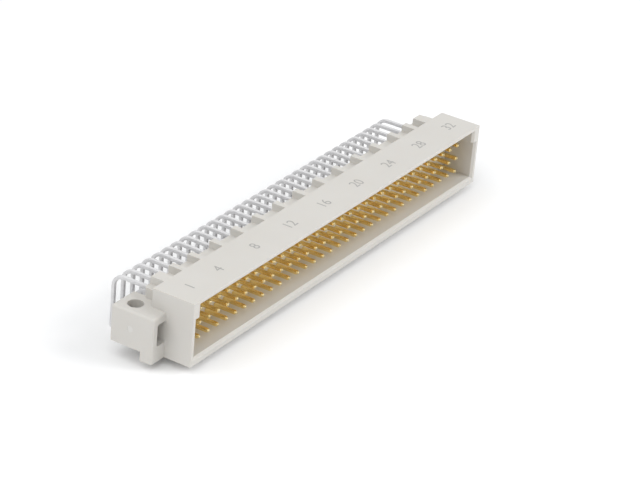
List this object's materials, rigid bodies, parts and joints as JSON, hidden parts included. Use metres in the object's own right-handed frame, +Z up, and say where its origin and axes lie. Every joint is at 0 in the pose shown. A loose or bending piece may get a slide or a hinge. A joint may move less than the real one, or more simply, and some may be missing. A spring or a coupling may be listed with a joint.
{
  "type": "backplane connector",
  "caption": "Right-angle board connector: a long moulded shroud with rows of square contacts, a ribbed rear block with bent solder tails, and a bored mounting ear at each end.",
  "frame": {"origin": "midpoint of the line between the two fixing holes, on the plane of the circuit board's surface", "axes": "+X along the contact rows, -Y towards the mating side, +Z up from the circuit board"},
  "size_m": [0.094, 0.0186, 0.0125],
  "materials": {
    "housing": "pale grey moulded thermoplastic",
    "contacts": "copper alloy, gold-plated blades and tinned tails"
  },
  "bodies": {
    "root": {"housing": "housing", "contact_01": "contacts", "contact_02": "contacts", "contact_03": "contacts", "contact_04": "contacts", "contact_05": "contacts", "contact_06": "contacts", "contact_07": "contacts", "contact_08": "contacts", "contact_09": "contacts", "contact_10": "contacts", "contact_11": "contacts", "contact_12": "contacts", "contact_13": "contacts", "contact_14": "contacts", "contact_15": "contacts", "contact_16": "contacts", "contact_17": "contacts", "contact_18": "contacts", "contact_19": "contacts", "contact_20": "contacts", "contact_21": "contacts", "contact_22": "contacts", "contact_23": "contacts", "contact_24": "contacts", "contact_25": "contacts", "contact_26": "contacts", "contact_27": "contacts", "contact_28": "contacts", "contact_29": "contacts", "contact_30": "contacts", "contact_31": "contacts", "contact_32": "contacts"}
  },
  "joints": []
}
